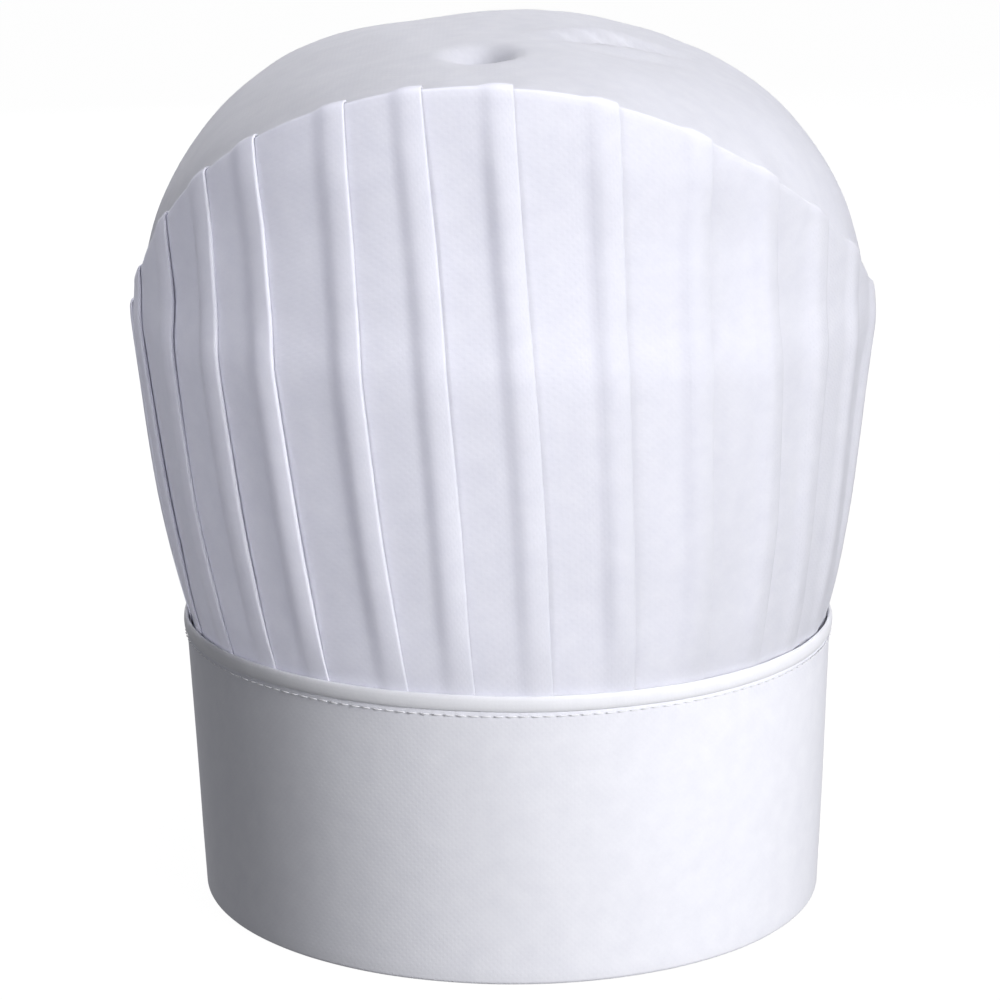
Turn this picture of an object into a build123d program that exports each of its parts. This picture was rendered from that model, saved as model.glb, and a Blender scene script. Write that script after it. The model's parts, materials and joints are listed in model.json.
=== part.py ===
from build123d import *
from math import cos, degrees, pi, radians, sin
import os

# Pleated chef's toque of stiff non-woven cloth, in millimetres.
# Origin: centre of the headband's bottom rim. +Z is up, -Y is the front, and the band opens at the back.
# Every upright strip is a rectangle in a radial plane, turned about the hat's axis.

# Headband: one strip, folded along its bottom edge round a card stiffener
head_circumference = 572.0
band_height = 83.0
leaf_thickness = 0.6
slit_width = 6.0

# Sweatband, inside the bottom of the headband
sweatband_thickness = 1.2
sweatband_height = 35.0
sweatband_lift = 3.0
sweatband_back_gap = 38.0

# Card stiffener in the pocket
stiffener_thickness = 1.0

# Crown: a pleated wall, and an arched panel that closes it
skirt_depth = 13.0
crown_flare = 15.0
wall_height = 88.0
foot_height = 4.0
crown_rise = 75.0
crown_thickness = 1.0

# Binding over the top edge of the headband's outer leaf
binding_width = 4.5
binding_thickness = 1.0

# Size strap at the back: sewn down at one end, held by hook and loop at the other
strap_height = 44.0
strap_bottom = 18.0
strap_thickness = 1.0
strap_corner_radius = 12.0
tab_length = 66.0
anchor_length = 16.5
patch_thickness = 0.9
patch_gap = 0.3
hook_length = 29.0
hook_inset = 4.0
loop_inset = 2.0
loop_overrun = 1.5

# Rows of thread
thread_width = 0.5
thread_thickness = 0.3
rim_thread_width = 1.5
rim_row_end = 8.0
end_row_inset = 3.0
edge_inset = 1.5

# Clearances
lay_gap = 0.1
fold_gap = 0.3
row_gap = 1.0
skirt_gap = 1.0

# Radii, worked out from the head outwards
head_radius = head_circumference / (2 * pi)
band_inner_radius = head_radius + sweatband_thickness
pocket_inner_radius = band_inner_radius + leaf_thickness
pocket_width = max(stiffener_thickness, crown_thickness) + 2 * lay_gap
pocket_outer_radius = pocket_inner_radius + pocket_width
band_radius = pocket_outer_radius + leaf_thickness
stiffener_radius = pocket_outer_radius - lay_gap
stiffener_inner_radius = stiffener_radius - stiffener_thickness
skirt_radius = pocket_outer_radius - lay_gap
skirt_inner_radius = skirt_radius - crown_thickness
crown_radius = skirt_radius + crown_flare
crown_inner_radius = crown_radius - crown_thickness
binding_radius = band_radius + binding_thickness
loop_radius = band_radius + patch_thickness
hook_inner_radius = loop_radius + patch_gap
hook_radius = hook_inner_radius + patch_thickness
strap_radius = hook_radius + strap_thickness

# Heights
skirt_bottom = band_height - skirt_depth
stiffener_top = skirt_bottom - skirt_gap
sweatband_top = sweatband_lift + sweatband_height
binding_bottom = band_height - binding_width
binding_top = band_height + binding_thickness
flare_start = binding_top + lay_gap
strap_top = strap_bottom + strap_height
hook_bottom = strap_bottom + hook_inset
hook_top = strap_top - hook_inset
loop_bottom = strap_bottom + loop_inset
loop_top = strap_top - loop_inset
knee_height = band_height + wall_height
shoulder_height = knee_height + foot_height
hat_height = shoulder_height + crown_rise

# Distances along the band from the middle of the back: the sewn-down side is positive
slit_edge = slit_width / 2
end_row = slit_edge + end_row_inset
anchor_start = end_row + thread_width + row_gap
tab_start = anchor_start - fold_gap
tab_end = tab_start - tab_length
hook_end = tab_end + hook_inset
loop_start = -end_row - thread_width - row_gap
loop_end = tab_end - loop_overrun
loop_length = loop_start - loop_end


def back_angle(distance):
    """The angle about the axis at this distance along the band from the middle of the back."""
    return 90 + degrees(distance / band_radius)


def radial_plane(angle):
    """The upright plane through the axis at this angle: X runs outward and Y runs up."""
    outward = (cos(radians(angle)), sin(radians(angle)), 0)
    sideways = (sin(radians(angle)), -cos(radians(angle)), 0)
    return Plane(origin=(0, 0, 0), x_dir=outward, z_dir=sideways)


def upright(inner, outer, bottom, top, mode=Mode.ADD):
    """A rectangle in the open sketch, between two radii and two heights."""
    with Locations(((inner + outer) / 2, (bottom + top) / 2)):
        Rectangle(outer - inner, top - bottom, mode=mode)


slit_start_angle = back_angle(slit_edge)
slit_turn = 360 - 2 * (slit_start_angle - 90)

# Headband: a U in section, open upwards, with its two ends at the slit
with BuildPart() as headband:
    with BuildSketch(radial_plane(slit_start_angle)):
        upright(band_inner_radius, band_radius, 0, band_height)
        upright(pocket_inner_radius, pocket_outer_radius, leaf_thickness, band_height, Mode.SUBTRACT)
    revolve(axis=Axis.Z, revolution_arc=slit_turn)
headband.part.label = "headband"

# Band stiffener: card that stands on the fold, between the leaves
with BuildPart() as band_stiffener:
    with BuildSketch(radial_plane(slit_start_angle)):
        upright(stiffener_inner_radius, stiffener_radius, leaf_thickness, stiffener_top)
    revolve(axis=Axis.Z, revolution_arc=slit_turn)
band_stiffener.part.label = "band_stiffener"

# Sweatband: its inner face is the size that fits the head
sweatband_start_angle = back_angle(sweatband_back_gap / 2)
sweatband_turn = 360 - 2 * (sweatband_start_angle - 90)
with BuildPart() as sweatband:
    with BuildSketch(radial_plane(sweatband_start_angle)):
        upright(head_radius, band_inner_radius, sweatband_lift, sweatband_top)
    revolve(axis=Axis.Z, revolution_arc=sweatband_turn)
sweatband.part.label = "sweatband"

# The row that holds the sweatband runs over its top edge
sweatband_thread_radius = band_inner_radius - thread_thickness
with BuildPart() as sweatband_thread:
    with BuildSketch(radial_plane(sweatband_start_angle)):
        upright(sweatband_thread_radius, band_inner_radius, sweatband_top, sweatband_top + thread_width)
    revolve(axis=Axis.Z, revolution_arc=sweatband_turn)
sweatband_thread.part.label = "sweatband_thread"

# Crown wall: a skirt in the pocket, a straight flare up to the knee, then upright to the rim.
# The rim lies in two planes that rise from the sides to the front and to the back.
with BuildPart() as crown_wall:
    with BuildSketch(radial_plane(90)):
        with BuildLine():
            Polyline(
                (skirt_inner_radius, skirt_bottom),
                (skirt_radius, skirt_bottom),
                (skirt_radius, flare_start),
                (crown_radius, knee_height),
                (crown_radius, hat_height),
                (crown_inner_radius, hat_height),
                (crown_inner_radius, knee_height),
                (skirt_inner_radius, flare_start),
                close=True,
            )
        make_face()
    revolve(axis=Axis.Z, revolution_arc=360)
    with BuildSketch(Plane.YZ):
        with BuildLine():
            Polyline(
                (0, shoulder_height),
                (2 * crown_radius, shoulder_height + 2 * crown_rise),
                (-2 * crown_radius, shoulder_height + 2 * crown_rise),
                close=True,
            )
        make_face()
    extrude(amount=2 * crown_radius, both=True, mode=Mode.SUBTRACT)
crown_wall.part.label = "crown_wall"

# Crown top: an elliptical arch lying from front to back, cut to the round of the wall and set inside it
with BuildPart() as crown_top:
    with BuildSketch(Plane.XZ):
        with Locations((0, shoulder_height)):
            Ellipse(crown_radius, crown_rise)
            Ellipse(crown_inner_radius, crown_rise - crown_thickness, mode=Mode.SUBTRACT)
        upright(-crown_radius, crown_radius, shoulder_height - crown_rise, shoulder_height, Mode.SUBTRACT)
    extrude(amount=crown_radius, both=True)
    with BuildSketch(Plane.XY.offset(shoulder_height)):
        Circle(crown_inner_radius - lay_gap)
    extrude(amount=crown_rise, mode=Mode.INTERSECT)
crown_top.part.label = "crown_top"

# Rim seam thread: one row in front and one behind, inside the corner of wall and panel.
# Each is an elliptical arc in a plane that rises as the rim does.
rim_slope = crown_rise / crown_radius
rim_row_rise = (1 + rim_slope**2) ** 0.5
rim_row_radius = crown_inner_radius - rim_thread_width - fold_gap
rim_row_drop = crown_thickness + rim_thread_width + fold_gap
rim_origin = (0, 0, shoulder_height - rim_row_drop)
with BuildPart() as rim_seam_thread:
    for side in (-1, 1):
        with BuildSketch(Plane(origin=rim_origin, x_dir=(1, 0, 0), z_dir=(0, -rim_slope, side))):
            outer_radius = rim_row_radius + rim_thread_width / 2
            inner_radius = rim_row_radius - rim_thread_width / 2
            Ellipse(outer_radius, outer_radius * rim_row_rise)
            Ellipse(inner_radius, inner_radius * rim_row_rise, mode=Mode.SUBTRACT)
            upright(-crown_radius, crown_radius, -2 * crown_radius, rim_row_end, Mode.SUBTRACT)
        extrude(amount=rim_thread_width / 2, both=True)
rim_seam_thread.part.label = "rim_seam_thread"

# Back seam thread: the crown's sheet is closed inside, along the middle of the back
seam_thread_angle = 90 - degrees(thread_width / 2 / crown_radius)
seam_row_inset = thread_thickness + lay_gap
seam_row_drop = rim_row_drop + rim_slope * (crown_radius - rim_row_radius) + rim_thread_width + row_gap
seam_row_top = hat_height - seam_row_drop
with BuildPart() as back_seam_thread:
    with BuildSketch(radial_plane(seam_thread_angle)):
        with BuildLine():
            Polyline(
                (skirt_inner_radius - seam_row_inset, flare_start),
                (skirt_inner_radius - lay_gap, flare_start),
                (crown_inner_radius - lay_gap, knee_height),
                (crown_inner_radius - lay_gap, seam_row_top),
                (crown_inner_radius - seam_row_inset, seam_row_top),
                (crown_inner_radius - seam_row_inset, knee_height),
                close=True,
            )
        make_face()
    revolve(axis=Axis.Z, revolution_arc=2 * (90 - seam_thread_angle))
back_seam_thread.part.label = "back_seam_thread"

# Seam binding: it stands on the band's face and laps over the top edge of the outer leaf
with BuildPart() as seam_binding:
    with BuildSketch(radial_plane(slit_start_angle)):
        upright(band_radius, binding_radius, binding_bottom, binding_top)
        upright(pocket_outer_radius, band_radius, band_height, binding_top)
    revolve(axis=Axis.Z, revolution_arc=slit_turn)
seam_binding.part.label = "seam_binding"

# The row along the binding
binding_row = binding_bottom + edge_inset
with BuildPart() as binding_thread:
    with BuildSketch(radial_plane(slit_start_angle)):
        upright(binding_radius, binding_radius + thread_thickness, binding_row, binding_row + thread_width)
    revolve(axis=Axis.Z, revolution_arc=slit_turn)
binding_thread.part.label = "binding_thread"

# Band end thread: an upright row beside each edge of the slit
end_row_top = binding_bottom - edge_inset
with BuildPart() as band_end_thread:
    for side in (-1, 1):
        row_angle = back_angle(side * end_row - thread_width / 2)
        with BuildSketch(radial_plane(row_angle)):
            upright(band_radius, band_radius + thread_thickness, edge_inset, end_row_top)
        revolve(axis=Axis.Z, revolution_arc=degrees(thread_width / band_radius))
band_end_thread.part.label = "band_end_thread"

# Tab anchor: the sewn-down end of the strap, folded under to the thickness of the patches
anchor_turn = degrees(anchor_length / band_radius)
with BuildPart() as tab_anchor:
    with BuildSketch(radial_plane(back_angle(anchor_start))):
        upright(band_radius, strap_radius, strap_bottom, strap_top)
    revolve(axis=Axis.Z, revolution_arc=anchor_turn)
tab_anchor.part.label = "tab_anchor"

# Anchor thread: a stitched frame on the anchor
stitched_radius = strap_radius + thread_thickness
inner_inset = edge_inset + thread_width
with BuildPart() as anchor_thread:
    with BuildSketch(radial_plane(back_angle(anchor_start + edge_inset))):
        upright(strap_radius, stitched_radius, strap_bottom + edge_inset, strap_top - edge_inset)
    revolve(axis=Axis.Z, revolution_arc=degrees((anchor_length - 2 * edge_inset) / band_radius))
    with BuildSketch(radial_plane(back_angle(anchor_start + inner_inset))):
        upright(strap_radius, stitched_radius, strap_bottom + inner_inset, strap_top - inner_inset)
    inner_turn = degrees((anchor_length - 2 * inner_inset) / band_radius)
    revolve(axis=Axis.Z, revolution_arc=inner_turn, mode=Mode.SUBTRACT)
anchor_thread.part.label = "anchor_thread"

# Closure tab: the free part of the strap, which peels away from the band
with BuildPart() as closure_tab:
    with BuildSketch(radial_plane(back_angle(tab_end))):
        upright(hook_radius, strap_radius, strap_bottom, strap_top)
    revolve(axis=Axis.Z, revolution_arc=degrees(tab_length / band_radius))
    corner_edges = closure_tab.edges().filter_by(GeomType.LINE).filter_by(Axis.Z, reverse=True)
    fillet(corner_edges.sort_by(Axis.X)[-2:], radius=strap_corner_radius)
closure_tab.part.label = "closure_tab"

# Hook patch: sewn to the inside of the tab
with BuildPart() as hook_patch:
    with BuildSketch(radial_plane(back_angle(hook_end))):
        upright(hook_inner_radius, hook_radius, hook_bottom, hook_top)
    revolve(axis=Axis.Z, revolution_arc=degrees(hook_length / band_radius))
hook_patch.part.label = "hook_patch"

# Hook thread: the frame of stitches that shows on the outside of the tab
with BuildPart() as hook_thread:
    with BuildSketch(radial_plane(back_angle(hook_end + edge_inset))):
        upright(strap_radius, stitched_radius, hook_bottom + edge_inset, hook_top - edge_inset)
    revolve(axis=Axis.Z, revolution_arc=degrees((hook_length - 2 * edge_inset) / band_radius))
    with BuildSketch(radial_plane(back_angle(hook_end + inner_inset))):
        upright(strap_radius, stitched_radius, hook_bottom + inner_inset, hook_top - inner_inset)
    inner_turn = degrees((hook_length - 2 * inner_inset) / band_radius)
    revolve(axis=Axis.Z, revolution_arc=inner_turn, mode=Mode.SUBTRACT)
hook_thread.part.label = "hook_thread"

# Loop patch: sewn to the band, under the tab
with BuildPart() as loop_patch:
    with BuildSketch(radial_plane(back_angle(loop_end))):
        upright(band_radius, loop_radius, loop_bottom, loop_top)
    revolve(axis=Axis.Z, revolution_arc=degrees(loop_length / band_radius))
loop_patch.part.label = "loop_patch"

# Loop thread: a frame along the patch's edge, outside the hooks
loop_row_inset = (hook_inset - loop_inset - thread_width) / 2
loop_inner_inset = loop_row_inset + thread_width
loop_thread_radius = loop_radius + thread_thickness
with BuildPart() as loop_thread:
    with BuildSketch(radial_plane(back_angle(loop_end + loop_row_inset))):
        upright(loop_radius, loop_thread_radius, loop_bottom + loop_row_inset, loop_top - loop_row_inset)
    revolve(axis=Axis.Z, revolution_arc=degrees((loop_length - 2 * loop_row_inset) / band_radius))
    with BuildSketch(radial_plane(back_angle(loop_end + loop_inner_inset))):
        upright(loop_radius, loop_thread_radius, loop_bottom + loop_inner_inset, loop_top - loop_inner_inset)
    inner_turn = degrees((loop_length - 2 * loop_inner_inset) / band_radius)
    revolve(axis=Axis.Z, revolution_arc=inner_turn, mode=Mode.SUBTRACT)
loop_thread.part.label = "loop_thread"

pieces = [
    headband,
    band_stiffener,
    sweatband,
    sweatband_thread,
    crown_wall,
    crown_top,
    rim_seam_thread,
    back_seam_thread,
    seam_binding,
    binding_thread,
    band_end_thread,
    tab_anchor,
    anchor_thread,
    closure_tab,
    hook_patch,
    hook_thread,
    loop_patch,
    loop_thread,
]
os.makedirs("parts", exist_ok=True)
for piece in pieces:
    export_step(piece.part, f"parts/{piece.part.label}.step")
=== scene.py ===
"""A pleated chef's toque: its cloth, stitches, materials and a plain studio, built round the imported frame."""
import json
import math
import random

import bpy
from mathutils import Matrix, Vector, noise


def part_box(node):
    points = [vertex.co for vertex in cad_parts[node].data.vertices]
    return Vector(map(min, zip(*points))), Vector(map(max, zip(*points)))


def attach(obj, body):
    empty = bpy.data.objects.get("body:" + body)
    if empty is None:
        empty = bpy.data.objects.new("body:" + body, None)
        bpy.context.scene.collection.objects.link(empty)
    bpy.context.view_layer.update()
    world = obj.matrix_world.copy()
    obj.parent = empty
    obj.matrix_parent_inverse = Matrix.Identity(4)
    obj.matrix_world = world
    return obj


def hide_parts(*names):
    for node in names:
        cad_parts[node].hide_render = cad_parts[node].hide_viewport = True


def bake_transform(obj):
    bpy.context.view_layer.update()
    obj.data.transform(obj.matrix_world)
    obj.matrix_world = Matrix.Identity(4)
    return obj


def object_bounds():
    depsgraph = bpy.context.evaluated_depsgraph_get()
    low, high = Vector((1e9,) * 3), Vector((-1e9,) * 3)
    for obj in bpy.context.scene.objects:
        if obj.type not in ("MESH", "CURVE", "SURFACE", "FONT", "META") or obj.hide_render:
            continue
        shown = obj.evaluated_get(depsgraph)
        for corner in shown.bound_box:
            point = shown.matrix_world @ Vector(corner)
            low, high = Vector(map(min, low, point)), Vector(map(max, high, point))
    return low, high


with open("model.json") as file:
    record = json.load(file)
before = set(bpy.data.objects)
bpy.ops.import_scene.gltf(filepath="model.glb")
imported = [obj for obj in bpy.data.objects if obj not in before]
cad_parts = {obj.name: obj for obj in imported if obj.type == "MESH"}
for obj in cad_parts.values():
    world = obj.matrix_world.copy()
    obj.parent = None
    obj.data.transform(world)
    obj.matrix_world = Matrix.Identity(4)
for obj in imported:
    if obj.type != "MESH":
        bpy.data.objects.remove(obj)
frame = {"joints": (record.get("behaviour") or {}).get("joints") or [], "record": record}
cad_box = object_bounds()

MM = 0.001
TURN = 2 * math.pi
FRONT = -math.pi / 2
BACK = math.pi / 2

# ---------------------------------------------------------------- places, from the frame

band_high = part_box("headband")[1]
sweat_low, sweat_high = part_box("sweatband")
skirt_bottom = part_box("crown_wall")[0].z
binding_low, binding_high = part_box("seam_binding")
strap_low, strap_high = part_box("closure_tab")
hook_low, hook_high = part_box("hook_patch")
loop_low, loop_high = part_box("loop_patch")
head_radius = next(m for m in frame["record"]["mounts"] if m["name"] == "head_opening")["dims"]["r_mm"] * MM
hinge = frame["joints"][0]["pos_m"]

band_radius = band_high.x
band_top = band_high.z
crown_radius = cad_box[1].x
hat_height = cad_box[1].z
strap_radius = math.hypot(hinge[0], hinge[1])

# ---------------------------------------------------------------- sizes of the cloth, in metres

CLOTH = 0.30 * MM
BAND_CLOTH = 0.40 * MM
band_leaf_radius = band_radius - BAND_CLOTH / 2
inner_leaf_radius = head_radius + 1.5 * MM
slit_half_angle = 3.0 * MM / band_radius
leaf_start = BACK + slit_half_angle
leaf_end = BACK + TURN - slit_half_angle
sweatband_gap_angle = math.asin(19 * MM / band_radius)

PLEATS = 28
PITCH = TURN / PLEATS
PHASE = math.radians(4.1)
LEAN = math.radians(5.6)
skirt_radius = band_radius - 0.85 * MM
flare_start = binding_high.z
knee_height = 171 * MM
shoulder_height = 175 * MM
crown_rise = hat_height - shoulder_height


def polar(radius, angle, z):
    return Vector((radius * math.cos(angle), radius * math.sin(angle), z))


def mix(a, b, share):
    return a + (b - a) * share


def smooth(x):
    """0 below 0, 1 above 1, and a gentle S between them."""
    x = min(max(x, 0.0), 1.0)
    return x * x * (3 - 2 * x)


def bump(x):
    """A bell: 1 at 0, and near nothing beyond 2 either way."""
    return math.exp(-x * x)


def turn_between(a, b):
    """The shorter way round from angle b to angle a."""
    return (a - b + math.pi) % TURN - math.pi


def ripple(angle, z, around, up, seed):
    """Smooth noise on a round wall, about -1 to 1: around waves in a turn, up waves in a metre."""
    reach = around / TURN
    return noise.noise(Vector((math.cos(angle) * reach, math.sin(angle) * reach, z * up + seed)))


# ---------------------------------------------------------------- mesh helpers


def new_object(name, vertices, faces, uvs=None):
    """A smooth-shaded mesh object. uvs holds one (u, v) in metres for each corner of each face."""
    mesh = bpy.data.meshes.new(name)
    mesh.from_pydata([tuple(v) for v in vertices], [], faces)
    mesh.shade_smooth()
    if uvs:
        layer = mesh.uv_layers.new(name="cloth")
        flat = [value for corner in uvs for value in corner]
        layer.data.foreach_set("uv", flat)
    mesh.validate()
    obj = bpy.data.objects.new(name, mesh)
    bpy.context.scene.collection.objects.link(obj)
    return obj


def grid(name, rows, columns, place, uv, wrap=False):
    """A sheet of quads. place(row, column) gives each point, and uv(row, column) its place on the cloth."""
    vertices = [place(i, j) for i in range(rows) for j in range(columns)]
    faces, uvs = [], []
    for i in range(rows - 1):
        for j in range(columns if wrap else columns - 1):
            a, b = i * columns + j, i * columns + (j + 1) % columns
            faces.append((a, b, b + columns, a + columns))
            uvs += [uv(i, j), uv(i, j + 1), uv(i + 1, j + 1), uv(i + 1, j)]
    return new_object(name, vertices, faces, uvs)


def thicken(obj, thickness, offset=0.0):
    """Gives a sheet its thickness: offset 0 keeps the mesh in the middle of it."""
    solid = obj.modifiers.new("thickness", "SOLIDIFY")
    solid.thickness = thickness
    solid.offset = offset
    return obj


def eased(count):
    """count shares from 0 to 1, closer together at both ends."""
    shares = []
    for i in range(count):
        x = i / (count - 1)
        shares.append(0.5 * x + 0.25 * (1 - math.cos(math.pi * x)))
    return shares


def tube_faces(base, rings, sides):
    """The faces of a capped tube, whose rings of points follow each other from number base."""
    faces = []
    for i in range(rings - 1):
        for s in range(sides):
            a, b = base + i * sides + s, base + i * sides + (s + 1) % sides
            faces.append((a, b, b + sides, a + sides))
    faces.append(tuple(base + s for s in reversed(range(sides))))
    faces.append(tuple(base + (rings - 1) * sides + s for s in range(sides)))
    return faces


def closed_strip(name, columns, around, place, uv):
    """A solid strip with capped ends. place(i, j) gives point i of section j, and uv its place on cloth."""
    vertices = [place(i, j) for j in range(columns) for i in range(around)]
    uvs = []
    for j in range(columns - 1):
        for i in range(around):
            uvs += [uv(i, j), uv(i + 1, j), uv(i + 1, j + 1), uv(i, j + 1)]
    uvs += [(0.0, 0.0)] * (2 * around)
    return new_object(name, vertices, tube_faces(0, columns, around), uvs)


def stitches(name, route, length, stitch=2.6 * MM, gap=0.8 * MM, thickness=0.42 * MM):
    """A row of separate stitches, each thin at its ends, where it dips into the cloth.

    route(distance) gives (point on the cloth, way along, way out of it).
    """
    sides, rings = 6, 5
    vertices, faces = [], []
    count = int((length + gap) / (stitch + gap))
    spare = (length - count * (stitch + gap) + gap) / 2
    for n in range(count):
        start = spare + n * (stitch + gap)
        faces += tube_faces(len(vertices), rings, sides)
        for i in range(rings):
            share = i / (rings - 1)
            point, along, out = route(start + stitch * share)
            across = along.cross(out).normalized()
            swell = math.sin(math.pi * (0.08 + 0.84 * share))
            radius = thickness / 2 * (0.35 + 0.65 * swell)
            centre = point + out * (thickness * (0.55 * swell - 0.15))
            for s in range(sides):
                a = TURN * s / sides
                vertices.append(centre + across * (radius * math.cos(a)) + out * (radius * math.sin(a)))
    return new_object(name, vertices, faces)


def joined(name, parts):
    """One mesh object that takes the place of several."""
    vertices, faces = [], []
    for part in parts:
        base = len(vertices)
        vertices += [v.co.copy() for v in part.data.vertices]
        faces += [tuple(base + v for v in face.vertices) for face in part.data.polygons]
        bpy.data.objects.remove(part)
    return new_object(name, vertices, faces)


def ring_route(radius, z, start, inward=False):
    """A level route round the axis from an angle, on the outside of a wall or on its inside."""

    def route(distance):
        angle = start + distance / radius
        out = polar(-1 if inward else 1, angle, 0)
        return polar(radius, angle, z), polar(1, angle + math.pi / 2, 0), out

    return route


def upright_route(radius, angle, bottom, inward=False):
    """A route straight up a wall."""

    def route(distance):
        out = polar(-1 if inward else 1, angle, 0)
        return polar(radius, angle, bottom + distance), Vector((0, 0, 1)), out

    return route


def settle(obj):
    """The set that the hat has taken: soft waves in the band, a narrower bottom edge and a slight lean."""
    for vertex in obj.data.vertices:
        x, y, z = vertex.co
        radius, angle = math.hypot(x, y), math.atan2(y, x)
        wave = 0.45 * MM * ripple(angle, z, 7, 6, 2.2) + 0.18 * MM * ripple(angle, z, 30, 26, 5.1)
        fade = smooth((z + 20 * MM) / (40 * MM)) * (1 - smooth((z - band_top) / (30 * MM)))
        drawn = 3.0 * MM * max(0.0, 1 - z / binding_low.z)
        scale = 1 + (wave * fade - drawn) / band_radius
        lean = 1.4 * MM * (2 * smooth(z / shoulder_height) - 1)
        vertex.co = (x * scale - lean, y * scale, z)


# ---------------------------------------------------------------- materials


class Surface:
    """A node material under construction."""

    def __init__(self, name):
        self.material = bpy.data.materials.new(name)
        self.material.use_nodes = True
        self.nodes = self.material.node_tree.nodes
        self.nodes.clear()

    def add(self, kind, **settings):
        """A node with its settings. A setting named after an input sets that input."""
        node = self.nodes.new(kind)
        for key, value in settings.items():
            if hasattr(node, key):
                setattr(node, key, value)
            else:
                node.inputs[key.replace("_", " ")].default_value = value
        return node

    def join(self, source, target):
        self.material.node_tree.links.new(source, target)

    def maths(self, operation, *values):
        """A maths node's result. Each value is a number or another node's output."""
        node = self.add("ShaderNodeMath", operation=operation)
        for value, target in zip(values, node.inputs):
            if isinstance(value, float):
                target.default_value = value
            else:
                self.join(value, target)
        return node.outputs[0]

    def finished(self, shader):
        output = self.add("ShaderNodeOutputMaterial")
        self.join(shader, output.inputs["Surface"])
        return self.material


def rough_noise(surface, coordinates, scale, detail=3.0, stretch=(1, 1, 1)):
    """Noise between about 0.3 and 0.7, with scale in features per metre."""
    mapping = surface.add("ShaderNodeMapping")
    mapping.inputs["Scale"].default_value = stretch
    surface.join(coordinates, mapping.inputs["Vector"])
    texture = surface.add("ShaderNodeTexNoise", Scale=scale, Detail=detail, Roughness=0.6)
    surface.join(mapping.outputs["Vector"], texture.inputs["Vector"])
    return texture.outputs["Fac"]


def between(surface, value, low, high, start=0.3, end=0.7):
    """Stretches a value from start..end to low..high."""
    spread = surface.add("ShaderNodeMapRange")
    spread.inputs["From Min"].default_value = start
    spread.inputs["From Max"].default_value = end
    spread.inputs["To Min"].default_value = low
    spread.inputs["To Max"].default_value = high
    surface.join(value, spread.inputs["Value"])
    return spread.outputs["Result"]


def colour_between(surface, value, dark, light):
    ramp = surface.add("ShaderNodeValToRGB")
    ramp.color_ramp.elements[0].position = 0.3
    ramp.color_ramp.elements[0].color = (*dark, 1)
    ramp.color_ramp.elements[1].position = 0.7
    ramp.color_ramp.elements[1].color = (*light, 1)
    surface.join(value, ramp.inputs["Fac"])
    return ramp.outputs["Color"]


def nonwoven(name, dark, light, through, emboss=0.06):
    """Stiff spun-bonded cloth: matted fibres, rows of bond points, and light that comes through it."""
    surface = Surface(name)
    coordinates = surface.add("ShaderNodeTexCoord")
    cloth = coordinates.outputs["UV"]
    place = coordinates.outputs["Object"]
    clouds = rough_noise(surface, place, 160, 4)
    fibres = rough_noise(surface, cloth, 2600, 5, (1.0, 0.35, 1))
    crossed = rough_noise(surface, cloth, 2100, 5, (0.35, 1.0, 1))
    mat = surface.maths("MULTIPLY", surface.maths("ADD", fibres, crossed), 0.5)
    turned = surface.add("ShaderNodeMapping")
    turned.inputs["Rotation"].default_value = (0, 0, math.radians(45))
    surface.join(cloth, turned.inputs["Vector"])
    bonds = surface.add("ShaderNodeTexVoronoi", voronoi_dimensions="2D", Scale=640.0, Randomness=0.0)
    surface.join(turned.outputs["Vector"], bonds.inputs["Vector"])
    dots = between(surface, bonds.outputs["Distance"], 0.0, 1.0, 0.16, 0.34)
    mottle = surface.maths("MULTIPLY_ADD", clouds, 0.55, surface.maths("MULTIPLY", mat, 0.45))
    colour = colour_between(surface, mottle, dark, light)
    relief = surface.add("ShaderNodeBump", Strength=0.5, Distance=emboss * MM)
    surface.join(surface.maths("MULTIPLY_ADD", dots, 0.5, mat), relief.inputs["Height"])
    body = surface.add("ShaderNodeBsdfPrincipled")
    body.inputs["Specular IOR Level"].default_value = 0.25
    body.inputs["Sheen Weight"].default_value = 0.12
    body.inputs["Sheen Roughness"].default_value = 0.5
    surface.join(colour, body.inputs["Base Color"])
    surface.join(between(surface, mat, 0.72, 0.92), body.inputs["Roughness"])
    surface.join(relief.outputs["Normal"], body.inputs["Normal"])
    if not through:
        return surface.finished(body.outputs["BSDF"])
    glow = surface.add("ShaderNodeBsdfTranslucent")
    surface.join(colour, glow.inputs["Color"])
    surface.join(relief.outputs["Normal"], glow.inputs["Normal"])
    blend = surface.add("ShaderNodeMixShader")
    blend.inputs["Fac"].default_value = through
    surface.join(body.outputs["BSDF"], blend.inputs[1])
    surface.join(glow.outputs["BSDF"], blend.inputs[2])
    return surface.finished(blend.outputs["Shader"])


def plain_fibre(name, dark, light, scale, roughness, depth, sheen=0.1):
    """A material with fine noise in its colour, roughness and relief: thread, fleece, pile, card or nylon."""
    surface = Surface(name)
    place = surface.add("ShaderNodeTexCoord").outputs["Object"]
    grain = rough_noise(surface, place, scale, 4)
    relief = surface.add("ShaderNodeBump", Strength=0.6, Distance=depth * MM)
    surface.join(grain, relief.inputs["Height"])
    body = surface.add("ShaderNodeBsdfPrincipled")
    body.inputs["Specular IOR Level"].default_value = 0.3
    body.inputs["Sheen Weight"].default_value = sheen
    surface.join(colour_between(surface, grain, dark, light), body.inputs["Base Color"])
    surface.join(between(surface, grain, roughness - 0.08, roughness + 0.08), body.inputs["Roughness"])
    surface.join(relief.outputs["Normal"], body.inputs["Normal"])
    return surface.finished(body.outputs["BSDF"])


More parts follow.
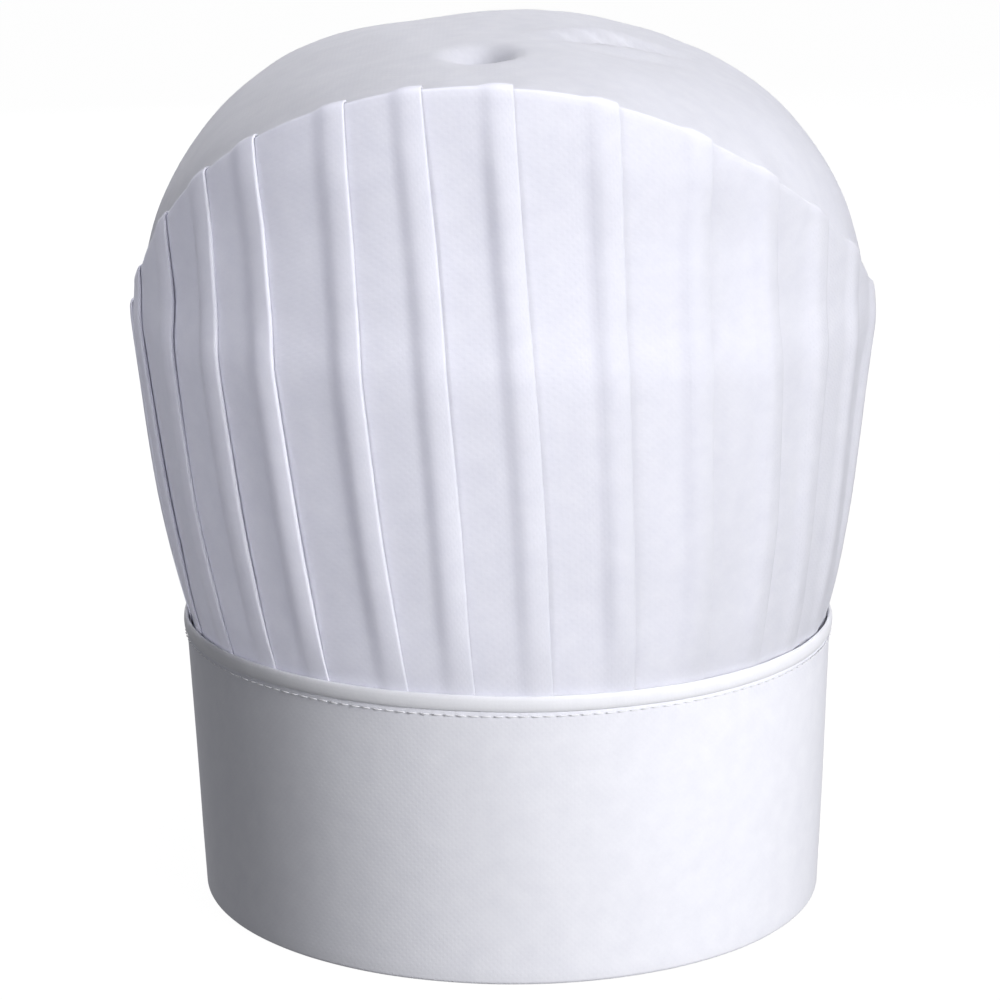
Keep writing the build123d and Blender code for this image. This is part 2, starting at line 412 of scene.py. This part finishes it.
crown_cloth = nonwoven("crown_cloth", (0.84, 0.843, 0.915), (0.915, 0.917, 0.975), through=0.27)
band_cloth = nonwoven("band_cloth", (0.825, 0.828, 0.90), (0.90, 0.903, 0.965), through=0.0, emboss=0.05)
binding_cloth = nonwoven("binding_cloth", (0.83, 0.833, 0.885), (0.89, 0.893, 0.94), through=0.0, emboss=0.05)
strap_cloth = nonwoven("strap_cloth", (0.825, 0.828, 0.90), (0.90, 0.903, 0.965), through=0.0, emboss=0.05)
thread_white = plain_fibre("thread_white", (0.80, 0.80, 0.84), (0.92, 0.92, 0.95), 5200, 0.62, 0.04, 0.2)
fleece = plain_fibre("sweat_fleece", (0.82, 0.82, 0.84), (0.92, 0.92, 0.93), 1500, 0.93, 0.25, 0.3)
card = plain_fibre("stiffener_card", (0.66, 0.65, 0.61), (0.78, 0.77, 0.73), 900, 0.85, 0.03, 0.0)
hook_nylon = plain_fibre("hook_nylon", (0.80, 0.80, 0.82), (0.90, 0.90, 0.92), 2400, 0.45, 0.03, 0.0)
loop_nylon = plain_fibre("loop_pile", (0.78, 0.78, 0.81), (0.93, 0.93, 0.95), 3000, 0.7, 0.1, 0.4)


dressed = []


def dress(obj, material, slot, *nodes):
    """Gives a piece its material and hides the solids that it replaces. The slot argument is not used."""
    dressed.append(obj)
    obj.data.materials.clear()
    obj.data.materials.append(material)
    if nodes:
        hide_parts(*nodes)
    return obj


# ---------------------------------------------------------------- crown wall: one knife-pleated sheet

rim_round = 13 * MM
rim_fold_depth = 1.9 * MM
knee_roundness = 0.16
knee_pull = 1.4 * MM
rim_gauge_height = hat_height - 30 * MM


def soft_limit(x, roundness):
    """x while x is small, and 1 when it is large, with a rounded knee between."""
    return (x + 1 - math.hypot(x - 1, roundness) + math.hypot(1, roundness) - 1) / 2


def wall_radius(z):
    """The distance of the outer folds from the axis: upright in the pocket, then flaring up to the knee."""
    rise = max(0.0, (z - flare_start) / (knee_height - flare_start))
    radius = mix(skirt_radius, crown_radius, soft_limit(rise, knee_roundness))
    if rise < 1:
        radius += 2.0 * MM * 6.75 * rise * (1 - rise) ** 2
    pulled = smooth((z - knee_height) / (16 * MM)) * (1 - smooth((z - 205 * MM) / (25 * MM)))
    return radius - knee_pull * pulled


def rim_height(angle):
    """The seam of wall and top panel: high in front and behind, low at the sides, slack in places."""
    depth = math.hypot(crown_radius * math.sin(angle), rim_round) - rim_round
    most = math.hypot(crown_radius, rim_round) - rim_round
    slack = 6.0 * MM * bump(turn_between(angle, FRONT + math.radians(46)) / math.radians(30))
    slack += 5.5 * MM * bump(turn_between(angle, BACK) / math.radians(60))
    slack += 0.9 * MM * ripple(angle, 0, 9, 0, 4.7)
    return shoulder_height + crown_rise * depth / most - slack


def fold_angle(pleat, z):
    """Where a pleat's outer fold lies at a height. The folds lean, and no two run quite alike."""
    rise = (z - band_top) / (hat_height - band_top)
    wander = noise.noise(Vector((pleat * 3.7, 1.3 + z * 9, 0.5))) * 0.10 * smooth((z - band_top) / 0.05)
    fixed = noise.noise(Vector((pleat * 5.9, 8.1, 2.5))) * 0.16
    return FRONT + PHASE + PITCH * (pleat + wander + fixed) - LEAN * (rise - 0.65)


def fold_step(pleat, z, rim):
    """How far the next panel lies behind a pleat's outer fold."""
    opened = smooth((z - binding_low.z) / (34 * MM))
    closed = smooth((rim - z) / (26 * MM))
    liveliness = 1 + 0.55 * noise.noise(Vector((pleat * 4.3, z * 12, 6.1)))
    return mix(0.70 * MM, mix(1.4 * MM, 2.4 * MM * liveliness, closed), opened)


def fold_radius(z, rim):
    opened = smooth((z - binding_low.z) / (34 * MM))
    closed = smooth((rim - z) / (20 * MM))
    return mix(0.17 * MM, mix(0.28 * MM, 0.52 * MM, closed), opened)


def fold_droop(step):
    """How far a fold's edge falls back from the crest of its roll."""
    return 0.5 * max(0.0, step - 0.7 * MM)


def tucked_width(z):
    """The width that each fold covers: wider at the band, where the wall is narrower."""
    return mix(6.6 * MM, 5.0 * MM, smooth((z - band_top) / (knee_height - band_top)))


# A pleat's columns, in order: under the fold before it, the visible panel, round the outer fold,
# back again, and round the inner fold
UNDER = [("under", x / 3) for x in range(3)]
PANEL_SHARES = (0.0, 0.1, 0.2, 0.3, 0.4, 0.48, 0.55, 0.61, 0.67, 0.73, 0.79, 0.85, 0.91, 0.96, 0.99)
PANEL = [("panel", x) for x in PANEL_SHARES]
OUTER = [("outer", x / 5) for x in range(6)]
RETURN = [("return", x / 4) for x in range(1, 4)]
INNER = [("inner", x / 4) for x in range(4)]
PROFILE = UNDER + PANEL + OUTER + RETURN + INNER
FLAT_STEPS = {"under": 1.7, "panel": 1.6, "outer": 0.35, "return": 1.2, "inner": 0.35}


def pleat_point(pleat, part, share, z, rim):
    """(angle, depth behind the outer folds) of a point of a pleat's profile at a height."""
    around = wall_radius(z)
    edge = fold_angle(pleat, z)
    before = fold_angle(pleat - 1, z)
    step = fold_step(pleat, z, rim)
    step_before = fold_step(pleat - 1, z, rim)
    radius = fold_radius(z, rim)
    tucked = tucked_width(z)
    if part == "under":
        return before - tucked * (1 - share) / around, step_before
    if part == "panel":
        width = (edge - before) * around
        left = width * (1 - share)
        climb = 0.42 * share + 0.58 * smooth((9.4 * MM - left) / (4.6 * MM))
        depth = step_before * (1 - climb)
        depth += fold_droop(step) * max(0.0, 1 - left / (4.4 * MM)) ** 1.7
        belly = 4 * share * (1 - share) * smooth((z - band_top) / 0.03) * smooth((rim - z) / 0.03)
        depth += 0.35 * MM * belly
        depth += 0.75 * MM * belly * ripple(edge - share * PITCH, z, 34, 16, pleat * 0.37)
        return before + (edge - before) * share - radius * share / around, depth
    droop = fold_droop(step)
    if part == "outer":
        a = math.pi * share
        return edge - (radius - radius * math.sin(a)) / around, droop + radius - radius * math.cos(a)
    end = step - 2 * radius
    if part == "return":
        return edge - mix(radius, tucked - radius, share) / around, mix(droop + 2 * radius, end, share)
    a = math.pi * share
    return edge - (tucked - radius + radius * math.sin(a)) / around, end + radius - radius * math.cos(a)


def build_crown_wall():
    heights = eased(46)
    turned = 5
    columns = PLEATS * len(PROFILE)
    flat_x = []
    x = 0.0
    for j in range(columns + 1):
        flat_x.append(x)
        x += FLAT_STEPS[PROFILE[j % len(PROFILE)][0]] * MM

    def place(i, j):
        pleat, (part, share) = j // len(PROFILE), PROFILE[j % len(PROFILE)]
        top_angle, _ = pleat_point(pleat, part, share, rim_gauge_height, hat_height)
        rim = rim_height(top_angle)
        if i < len(heights):
            z = mix(skirt_bottom, rim, heights[i])
            angle, depth = pleat_point(pleat, part, share, z, rim)
            return polar(wall_radius(z) - depth - CLOTH / 2, angle, z)
        angle, depth = pleat_point(pleat, part, share, rim, rim)
        left = rim_fold_depth - depth
        bend = math.pi * min(1.0, (i - len(heights) + 1) / turned)
        below = 2 * MM * max(0, i - len(heights) + 1 - turned)
        depth = rim_fold_depth - left * math.cos(bend)
        return polar(wall_radius(rim) - depth - CLOTH / 2, angle, rim + left * math.sin(bend) - below)

    def uv(i, j):
        share = heights[i] if i < len(heights) else 1 + 0.01 * (i - len(heights))
        return flat_x[j], share * 0.16

    wall = grid("pleated_wall", len(heights) + turned + 2, columns, place, uv, wrap=True)
    return thicken(wall, CLOTH)


wall = build_crown_wall()
dress(wall, crown_cloth, "nonwoven_white", "crown_wall")
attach(wall, "hat")

# ---------------------------------------------------------------- crown top: the plain arched panel

panel_inset = 2 * rim_fold_depth + 0.1 * MM


def panel_relief(x, y):
    """Dents and soft creases of the top panel, as heights to add."""
    relief = -11.0 * MM * bump(math.hypot((x + 6 * MM) / (7 * MM), (y + 60 * MM) / (10 * MM)) ** 1.4)
    relief += 3.5 * MM * bump(math.hypot((x + 72 * MM) / (34 * MM), (y - 22 * MM) / (40 * MM)))
    along = Vector((30 * MM, 17 * MM)).normalized()
    away = Vector((x - 29 * MM, y + 24 * MM))
    length, across = away.dot(along), away.dot(Vector((-along.y, along.x)))
    reach = bump(length / (20 * MM))
    relief += reach * (-4.0 * MM * bump(across / (2.6 * MM)) + 2.4 * MM * bump((across - 7 * MM) / (5 * MM)))
    relief += reach * -1.2 * MM * bump((across + 15 * MM) / (4 * MM))
    relief += 1.6 * MM * noise.noise(Vector((x * 26, y * 21, 3.3)))
    relief += 0.5 * MM * noise.noise(Vector((x * 70, y * 60, 7.7)))
    return relief


def build_crown_top():
    columns, rows, turned = 126, 64, 4
    end = math.radians(2.0)
    shares = eased(rows)

    def reach(rim_angle):
        return wall_radius(rim_height(rim_angle)) - panel_inset

    def place(i, j):
        beyond = max(3 - j, j - (columns - 4), 0)
        phi = mix(end, math.pi - end, min(max(j - 3, 0), columns - 7) / (columns - 7))
        extra = max(turned - i, i - (turned + rows - 1), 0)
        row = min(max(i - turned, 0), rows - 1)
        t = mix(-1.0, 1.0, shares[row])
        rim_angle = phi if t > 0 else -phi
        wide = mix(reach(-phi), reach(phi), (t + 1) / 2)
        x = wide * math.cos(phi)
        y = t * wide * math.sin(phi)
        arch = shoulder_height + crown_rise * math.sin(phi)
        rim = rim_height(rim_angle) + 0.2 * MM
        inner = 1 - t * t
        z = mix(rim, mix(arch, rim, abs(t) ** 3), smooth((math.sin(phi) - math.sin(end)) / 0.09))
        sides = math.cos(phi) ** 2 * (1.0 if x > 0 else 0.5)
        z += (5.5 + 7.5 * sides) * MM * inner * math.sqrt(math.sin(phi))
        z += panel_relief(x, y) * smooth(inner * 2.2)
        stray = 1.2 * noise.noise(Vector((rim_angle * 3, 0, 9)))
        pucker = math.cos(PLEATS * (rim_angle - FRONT - PHASE) + stray)
        z += 0.45 * MM * pucker * smooth(inner * 30) * bump(inner / 0.16)
        z -= 1.4 * MM * beyond
        if extra:
            bend = min(1.0, extra / 3) * math.pi / 2
            inward = 1.0 * MM * math.sin(bend)
            down = 1.0 * MM * (1 - math.cos(bend)) + (3 * MM if extra > 3 else 0)
            x += math.cos(rim_angle) * inward
            y += math.sin(rim_angle) * inward
            z -= down
        return Vector((x, y, z))

    def uv(i, j):
        return j / (columns - 1) * 0.285, i / (rows + 2 * turned - 1) * 0.22

    panel = grid("top_panel", rows + 2 * turned, columns, place, uv)
    return thicken(panel, CLOTH)


panel = build_crown_top()
dress(panel, crown_cloth, "nonwoven_white", "crown_top")
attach(panel, "hat")

# ---------------------------------------------------------------- headband: a strip folded at its bottom edge


def build_headband():
    columns = 300
    outer_rows, fold_rows, inner_rows = 22, 10, 16
    fold = (band_leaf_radius - inner_leaf_radius) / 2
    middle = (band_leaf_radius + inner_leaf_radius) / 2
    leaf_top = band_top - 0.4 * MM
    low = fold + BAND_CLOTH / 2
    turns = [math.pi * x / fold_rows for x in range(1, fold_rows)]
    profile = [(band_leaf_radius, mix(leaf_top, low, x / outer_rows)) for x in range(outer_rows + 1)]
    profile += [(middle + fold * math.cos(a), low - fold * math.sin(a)) for a in turns]
    profile += [(inner_leaf_radius, mix(low, leaf_top, x / inner_rows)) for x in range(inner_rows + 1)]
    lengths = [0.0]
    for (r0, z0), (r1, z1) in zip(profile, profile[1:]):
        lengths.append(lengths[-1] + math.hypot(r1 - r0, z1 - z0))

    def place(i, j):
        angle = mix(leaf_start, leaf_end, j / (columns - 1))
        radius, z = profile[i]
        return polar(radius, angle, z)

    def uv(i, j):
        return j / (columns - 1) * (leaf_end - leaf_start) * band_radius, lengths[i]

    band = grid("folded_band", len(profile), columns, place, uv)
    return thicken(band, BAND_CLOTH), lengths[-1]


band, band_cut = build_headband()
dress(band, band_cloth, "nonwoven_white", "headband")
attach(band, "hat")

# ---------------------------------------------------------------- seam binding: a roll on the band's top edge


def build_binding():
    columns, around = 420, 16
    half_height = 2.3 * MM
    middle_z = binding_high.z - half_height + 0.4 * MM
    depth = 0.9 * MM

    def place(i, j):
        angle = mix(leaf_start, leaf_end, j / (columns - 1))
        a = TURN * i / around
        swell = 1 + 0.10 * ripple(angle, 0, 60, 0, 1.9)
        lift = 0.35 * MM * ripple(angle, 0, 14, 0, 8.4)
        out = math.cos(a)
        radius = band_radius + (depth * out if out > 0 else 0.5 * MM * out) * swell
        flat = math.copysign(abs(math.sin(a)) ** 0.8, math.sin(a))
        return polar(radius, angle, middle_z + lift + half_height * flat)

    def uv(i, j):
        return j / (columns - 1) * TURN * band_radius, i / around * 14 * MM

    return closed_strip("rolled_binding", columns, around, place, uv)


binding = build_binding()
dress(binding, binding_cloth, "binding_white", "seam_binding")
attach(binding, "hat")

# ---------------------------------------------------------------- sweatband: a soft strip inside the rim


def build_sweatband():
    columns, around = 260, 28
    start, end = BACK + sweatband_gap_angle, BACK + TURN - sweatband_gap_angle
    outer = inner_leaf_radius - 0.35 * MM
    thickness = outer - head_radius
    middle_z = (sweat_low.z + sweat_high.z) / 2
    half_height = (sweat_high.z - sweat_low.z) / 2

    def place(i, j):
        angle = mix(start, end, j / (columns - 1))
        a = TURN * i / around
        up = math.copysign(abs(math.sin(a)) ** 0.35, math.sin(a))
        z = middle_z + half_height * up
        out = math.copysign(abs(math.cos(a)) ** 0.6, math.cos(a))
        radius = outer - thickness * (1 - out) / 2
        if out < 0:
            radius += 0.22 * MM * (1 + ripple(angle, z, 90, 60, 3.0))
        return polar(radius, angle, z)

    def uv(i, j):
        return j / (columns - 1) * TURN * band_radius, i / around * 70 * MM

    return closed_strip("fleece_sweatband", columns, around, place, uv)


sweat = build_sweatband()
dress(sweat, fleece, "sweat_fleece", "sweatband")
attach(sweat, "hat")

# ---------------------------------------------------------------- size strap at the back

STRAP = 0.9 * MM

# Distances along the band from the middle of the back; the sewn-down end is positive
strap_start, strap_end = 24.0 * MM, -58.8 * MM
anchor_end = 9.0 * MM
hook_start, hook_end = -25.8 * MM, -54.8 * MM
loop_start, loop_end = -7.5 * MM, -60.2 * MM

hook_face_radius = strap_radius - 1.40 * MM
loop_face_radius = band_radius + 0.40 * MM
strap_middle = (strap_low.z + strap_high.z) / 2
strap_half = (strap_high.z - strap_low.z) / 2
strap_corner = 12 * MM


def strap_angle(distance):
    """The angle at a distance along the band."""
    return BACK + distance / band_radius


def strap_centre(distance):
    """The strap's distance from the axis: on the band where it is sewn down, on the patches further along."""
    on_band = band_radius + 0.25 * MM + STRAP / 2
    on_patches = strap_radius - STRAP / 2
    return mix(on_patches, on_band, smooth((distance + 9 * MM) / (17 * MM)))


def build_strap():
    columns, rows = 120, 25
    length = strap_start - strap_end

    def along(j):
        x = j / (columns - 1)
        return strap_start - length * mix(x, math.sin(x * math.pi / 2), 0.5)

    def place(i, j):
        distance = along(j)
        left = distance - strap_end
        half = strap_half
        if left < strap_corner:
            half -= strap_corner - math.sqrt(max(0.0, strap_corner**2 - (strap_corner - left) ** 2))
        across = mix(-1.0, 1.0, i / (rows - 1))
        edge = 0.15 * MM * abs(across) ** 6
        return polar(strap_centre(distance) - edge, strap_angle(distance), strap_middle + across * half)

    def uv(i, j):
        return along(j), i / (rows - 1) * 2 * strap_half

    strap = grid("size_strap", rows, columns, place, uv)
    thicken(strap, STRAP)
    soft = strap.modifiers.new("soft edge", "BEVEL")
    soft.width = 0.28 * MM
    soft.segments = 2
    soft.angle_limit = math.radians(50)
    return strap


strap = build_strap()
dress(strap, strap_cloth, "nonwoven_white", "closure_tab", "tab_anchor")
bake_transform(strap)


def patch(name, radius_low, radius_high, low, high, span, columns=48):
    """A thin curved plate between two radii and two heights, over a span of angles."""
    rows = 30

    def place(i, j):
        angle = mix(span[0], span[1], j / (columns - 1))
        return polar((radius_low + radius_high) / 2, angle, mix(low, high, i / (rows - 1)))

    def uv(i, j):
        return j / (columns - 1) * 0.05, i / (rows - 1) * 0.04

    plate = grid(name, rows, columns, place, uv)
    return thicken(plate, radius_high - radius_low)


loop_span = (strap_angle(loop_start), strap_angle(loop_end))
hook_span = (strap_angle(hook_start), strap_angle(hook_end))
loop_base = patch("loop_tape", band_radius + 0.05 * MM, loop_face_radius, loop_low.z, loop_high.z, loop_span)
hook_base = patch("hook_tape", hook_face_radius, strap_radius - 1.0 * MM, hook_low.z, hook_high.z, hook_span)

PILE_SIDES = 4
pile_margin = 1.5 * MM


def bent_thread(root, side, out, tall, looped):
    """One small nylon thread: a loop that returns to the cloth, or a hook. Gives its points and ring count."""
    across = side.cross(out)
    steps = 6 if looped else 5
    sweep = math.pi if looped else math.pi * 0.75
    reach = tall * (1.2 if looped else 0.45)
    thin = 0.07 * MM if looped else 0.10 * MM
    points = []
    for k in range(steps):
        a = sweep * k / (steps - 1)
        if looped:
            lift = tall * math.sin(a)
        else:
            lift = tall * (0.25 + 0.65 * math.sin(a)) if k else 0.0
        centre = root + side * (reach * (0.5 - 0.5 * math.cos(a))) + out * lift
        for q in range(PILE_SIDES):
            b = TURN * q / PILE_SIDES
            round_it = across * (thin * math.cos(b)) + (side + out) * (thin * 0.7 * math.sin(b))
            points.append(centre + round_it)
    return points, steps


def pile(name, radius, span, low, high, spacing, tall, inward, looped, seed):
    """Small bent threads over a patch: hooks in rows, or loops strewn at random."""
    draw = random.Random(seed)
    vertices, faces = [], []
    width = abs(span[0] - span[1]) * radius - 2 * pile_margin
    height = high - low - 2 * pile_margin
    stray = spacing * (0.45 if looped else 0.06)
    for row in range(int(height / spacing)):
        for column in range(int(width / spacing)):
            s = pile_margin + (column + 0.5) * spacing + draw.uniform(-stray, stray)
            z = low + pile_margin + (row + 0.5) * spacing + draw.uniform(-stray, stray)
            heading = draw.uniform(0, TURN) if looped else (0.0 if row % 2 else math.pi)
            angle = max(span) - s / radius
            out = polar(-1 if inward else 1, angle, 0)
            side = polar(1, angle + math.pi / 2, 0) * math.cos(heading) + Vector((0, 0, math.sin(heading)))
            points, steps = bent_thread(polar(radius, angle, z), side, out, tall, looped)
            faces += tube_faces(len(vertices), steps, PILE_SIDES)
            vertices += points
    return new_object(name, vertices, faces)


hooks = pile("hooks", hook_face_radius, hook_span, hook_low.z, hook_high.z,
             spacing=1.35 * MM, tall=0.45 * MM, inward=True, looped=False, seed=5)
loops = pile("loops", loop_face_radius - 0.02 * MM, loop_span, loop_low.z, loop_high.z,
             spacing=1.15 * MM, tall=0.38 * MM, inward=False, looped=True, seed=9)
dress(hook_base, hook_nylon, "hook_nylon", "hook_patch")
dress(hooks, hook_nylon, "hook_nylon")
dress(loop_base, loop_nylon, "loop_nylon", "loop_patch")
dress(loops, loop_nylon, "loop_nylon")
for piece in (hook_base, hooks):
    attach(piece, "tab")
for piece in (loop_base, loops):
    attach(piece, "hat")

# ---------------------------------------------------------------- rows of stitches

def sew(stitched, node, body="hat"):
    dress(stitched, thread_white, "thread_white", node)
    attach(stitched, body)


binding_row_z = binding_high.z - 5.2 * MM
binding_row_inset = 2 * MM
sew(stitches("binding_stitches",
             ring_route(band_radius + 0.35 * MM, binding_row_z, leaf_start + binding_row_inset / band_radius),
             (TURN - 2 * slit_half_angle) * band_radius - 2 * binding_row_inset),
    "binding_thread")
sew(stitches("sweatband_stitches",
             ring_route(inner_leaf_radius - 0.35 * MM, sweat_high.z - 1.2 * MM,
                        BACK + sweatband_gap_angle, inward=True),
             (TURN - 2 * sweatband_gap_angle) * head_radius),
    "sweatband_thread")


def frame_route(radius, start, end, low, high):
    """A route round a rectangle on a wall, from start down to end along the band and between two heights."""
    wide, tall = abs(start - end), high - low

    def route(distance):
        distance %= 2 * (wide + tall)
        if distance < wide:
            s, z, way = start - distance, low, -1
        elif distance < wide + tall:
            s, z, way = end, low + distance - wide, 0
        elif distance < 2 * wide + tall:
            s, z, way = end + distance - wide - tall, high, 1
        else:
            s, z, way = start, high - (distance - 2 * wide - tall), 0
        angle = strap_angle(s)
        along = polar(way, angle + math.pi / 2, 0) if way else Vector((0, 0, 1))
        return polar(radius(s), angle, z), along, polar(1, angle, 0)

    return route, 2 * (wide + tall)


def framed(name, node, radius, start, end, low, high, inset, body):
    """Stitches round a rectangle, an inset inside its edges."""
    route, length = frame_route(radius, start - inset, end + inset, low + inset, high - inset)
    sew(stitches(name, route, length), node, body)


def strap_outside(distance):
    return strap_centre(distance) + STRAP / 2


strap_row_inset = 2.0 * MM
framed("anchor_stitches", "anchor_thread", strap_outside,
       strap_start, anchor_end, strap_low.z, strap_high.z, strap_row_inset, "hat")
framed("hook_stitches", "hook_thread", strap_outside,
       hook_start, hook_end, hook_low.z, hook_high.z, strap_row_inset, "tab")
framed("loop_stitches", "loop_thread", lambda distance: loop_face_radius,
       loop_start, loop_end, loop_low.z, loop_high.z, 0.9 * MM, "hat")

end_row = 6 * MM
end_row_radius = band_radius + 0.05 * MM
end_row_bottom = 3 * MM
end_row_length = 73 * MM
sew(joined("band_end_stitches", [
    stitches(name, upright_route(end_row_radius, strap_angle(distance), end_row_bottom), end_row_length)
    for name, distance in (("left", end_row), ("right", -end_row))
]), "band_end_thread")


def wall_route(distance):
    """Straight up the inside of the crown at the back."""
    z = flare_start + distance
    slope = (wall_radius(z + MM) - wall_radius(z)) / MM
    along = Vector((0, slope, 1)).normalized()
    return Vector((0, wall_radius(z) - 4.6 * MM, z)), along, Vector((0, -1, slope)).normalized()


sew(stitches("back_seam_stitches", wall_route, hat_height - flare_start - 14 * MM), "back_seam_thread")


rim_row_start = math.radians(6)


def rim_route(side):
    """Along the rim on the inside, in front or behind."""

    def point(distance):
        angle = side * (rim_row_start + distance / crown_radius)
        return polar(wall_radius(rim_height(angle)) - 6.2 * MM, angle, rim_height(angle) - 3.2 * MM)

    def route(distance):
        here, there = point(distance), point(distance + 0.5 * MM)
        return here, (there - here).normalized(), Vector((-here.x, -here.y, 0)).normalized()

    return route


sew(joined("rim_seam_stitches", [
    stitches(name, rim_route(side), (math.pi - 2 * rim_row_start) * crown_radius)
    for name, side in (("front", -1), ("back", 1))
]), "rim_seam_thread")

# ---------------------------------------------------------------- card strip between the headband's leaves

card_low, card_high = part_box("band_stiffener")
card_inset_angle = 3 * MM / band_radius
card_span = (leaf_start + card_inset_angle, leaf_end - card_inset_angle)
card_thickness = 1.0 * MM
strip = patch("card_strip", card_high.x - card_thickness, card_high.x,
              card_low.z, card_high.z, card_span, columns=220)
dress(strip, card, "card_grey", "band_stiffener")
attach(strip, "hat")

for piece in dressed:
    settle(piece)

# ---------------------------------------------------------------- studio

scene = bpy.context.scene
scene.view_settings.view_transform = "Standard"


def emitting(name, colour, strength):
    surface = Surface(name)
    glow = surface.add("ShaderNodeEmission", Color=(*colour, 1), Strength=strength)
    return surface.finished(glow.outputs["Emission"])


def build_floor():
    """A pale disc that keeps most of its brightness in the hat's shadow."""
    points = 96
    vertices = [Vector((0, 0, 0))] + [polar(12, TURN * i / points, 0) for i in range(points)]
    faces = [(0, i + 1, (i + 1) % points + 1) for i in range(points)]
    floor = new_object("floor", [v - Vector((0, 0, 0.05 * MM)) for v in vertices], faces)
    surface = Surface("floor_pale")
    place = surface.add("ShaderNodeTexCoord").outputs["Object"]
    grain = rough_noise(surface, place, 3)
    body = surface.add("ShaderNodeBsdfDiffuse")
    colour = colour_between(surface, grain, (0.05, 0.05, 0.051), (0.055, 0.055, 0.056))
    surface.join(colour, body.inputs["Color"])
    glow = surface.add("ShaderNodeEmission", Color=(1, 1, 1, 1), Strength=0.975)
    total = surface.add("ShaderNodeAddShader")
    surface.join(body.outputs["BSDF"], total.inputs[0])
    surface.join(glow.outputs["Emission"], total.inputs[1])
    floor.data.materials.append(surface.finished(total.outputs["Shader"]))
    for way in ("visible_diffuse", "visible_glossy", "visible_transmission"):
        setattr(floor, way, False)
    return floor


def build_backdrop():
    """A pale dome beyond the floor, seen by the camera alone."""
    rows, columns = 16, 48

    def place(i, j):
        up = math.pi / 2 * i / (rows - 1)
        return polar(12 * math.cos(up), TURN * j / columns, 12 * math.sin(up) - 0.1)

    dome = grid("backdrop", rows, columns, place, lambda i, j: (0.0, 0.0), wrap=True)
    dome.data.materials.append(emitting("backdrop_pale", (1, 1, 1), 0.99))
    for way in ("visible_diffuse", "visible_glossy", "visible_transmission", "visible_shadow"):
        setattr(dome, way, False)
    return dome


def soft_light(name, azimuth, elevation, distance, size, power, colour=(1, 1, 1)):
    """An area light that faces the middle of the hat. Azimuth 0 is the front, and 90 is +X."""
    light = bpy.data.lights.new(name, "AREA")
    light.shape = "DISK"
    light.size = size
    light.energy = power
    light.color = colour
    obj = bpy.data.objects.new(name, light)
    a, e = math.radians(azimuth), math.radians(elevation)
    way = Vector((math.sin(a) * math.cos(e), -math.cos(a) * math.cos(e), math.sin(e)))
    obj.location = way * distance + Vector((0, 0, hat_height / 2))
    obj.rotation_mode = "QUATERNION"
    obj.rotation_quaternion = way.to_track_quat("Z", "Y")
    scene.collection.objects.link(obj)
    return obj


def build_lights():
    """A key light, a wash from behind, one from above, and a fill that reaches the crown wall alone."""
    soft_light("key", 40, 17, 1.8, 0.9, 30)
    soft_light("back_wash", 196, 24, 1.6, 1.2, 14)
    fill = soft_light("crown_fill", -36, 22, 1.8, 0.9, 11.5, (0.95, 0.95, 1.04))
    soft_light("top", 20, 78, 1.8, 0.8, 9.5)
    flagged = bpy.data.collections.new("flagged")
    flagged.objects.link(wall)
    fill.light_linking.receiver_collection = flagged


def build_world():
    world = bpy.data.worlds.new("studio")
    world.use_nodes = True
    background = world.node_tree.nodes["Background"]
    background.inputs["Color"].default_value = (0.96, 0.97, 1.0, 1)
    background.inputs["Strength"].default_value = 0.20
    scene.world = world


def build_camera():
    """A long lens a metre in front of the hat, looking a little down on it."""
    camera_data = bpy.data.cameras.new("camera")
    camera_data.lens = 123.0
    camera_data.sensor_width = 36.0
    camera_data.clip_start = 0.05
    camera_data.clip_end = 60
    camera = bpy.data.objects.new("camera", camera_data)
    camera.location = (-2.3 * MM, -0.975, 0.3585)
    camera.rotation_euler = (math.radians(90 - 14), 0, 0)
    scene.collection.objects.link(camera)
    scene.camera = camera


build_floor()
build_backdrop()
build_lights()
build_world()
build_camera()
